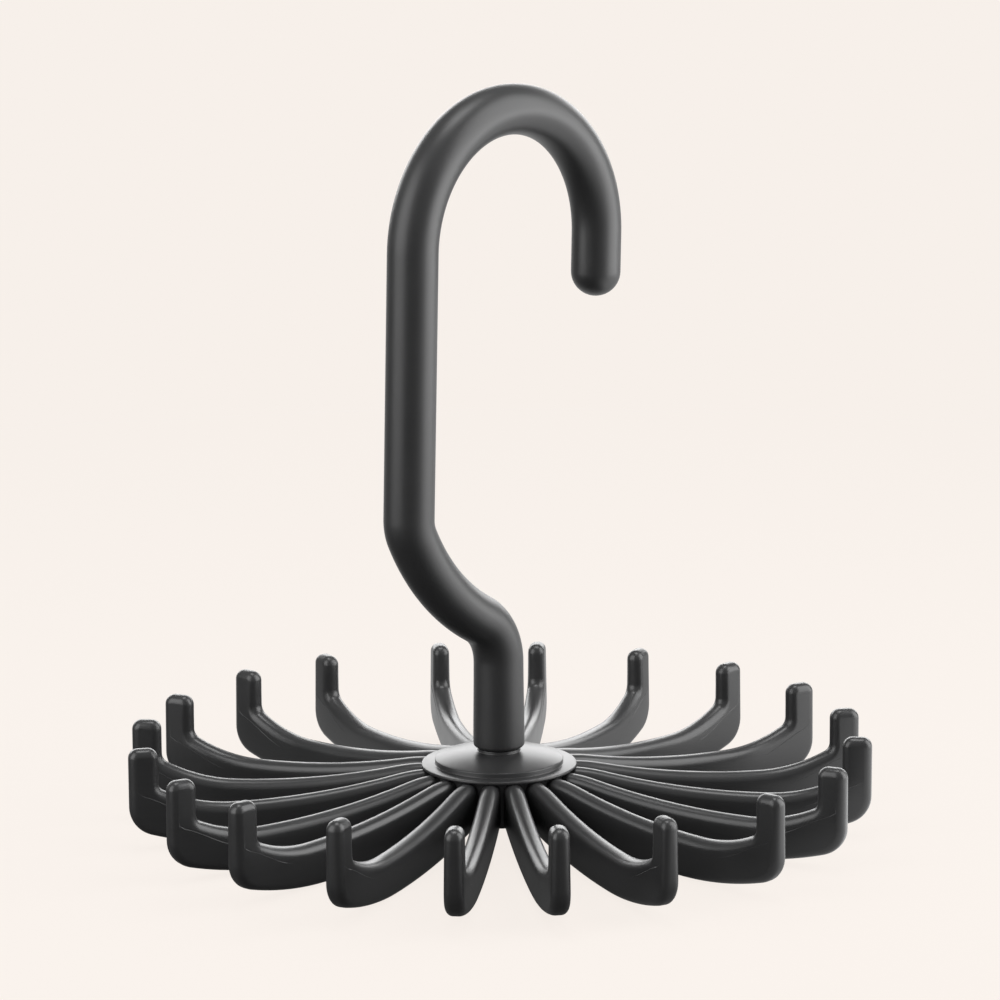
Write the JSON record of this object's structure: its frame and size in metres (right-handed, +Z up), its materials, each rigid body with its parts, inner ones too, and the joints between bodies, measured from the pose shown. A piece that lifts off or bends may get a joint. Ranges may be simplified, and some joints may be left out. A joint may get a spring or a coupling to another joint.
{
  "type": "rotating tie hanger",
  "caption": "Rotating tie hanger: a bent rod hook whose foot snaps into a wheel of slim upturned arms that swivels below it.",
  "frame": {"origin": "on the swivel axis, in the plane that the arms' undersides rest on", "axes": "+Z up along the swivel axis, towards the hook; the hook lies in the XZ plane with its tip on the +X side"},
  "size_m": [0.145, 0.145, 0.1453],
  "materials": {
    "hook_plastic": "satin moulded, charcoal",
    "wheel_plastic": "satin to semi-gloss moulded, charcoal"
  },
  "bodies": {
    "hanging_hook": {"hook": "hook_plastic"},
    "arm_wheel": {"hub": "wheel_plastic", "arm_01": "wheel_plastic", "arm_02": "wheel_plastic", "arm_03": "wheel_plastic", "arm_04": "wheel_plastic", "arm_05": "wheel_plastic", "arm_06": "wheel_plastic", "arm_07": "wheel_plastic", "arm_08": "wheel_plastic", "arm_09": "wheel_plastic", "arm_10": "wheel_plastic", "arm_11": "wheel_plastic", "arm_12": "wheel_plastic", "arm_13": "wheel_plastic", "arm_14": "wheel_plastic", "arm_15": "wheel_plastic", "arm_16": "wheel_plastic", "arm_17": "wheel_plastic", "arm_18": "wheel_plastic", "arm_19": "wheel_plastic", "arm_20": "wheel_plastic"}
  },
  "joints": [
    {"name": "wheel_swivel", "type": "hinge", "parent": "hanging_hook", "child": "arm_wheel", "pos_m": [0, 0, 0.012], "axis": [0, 0, 1], "continuous": true}
  ]
}
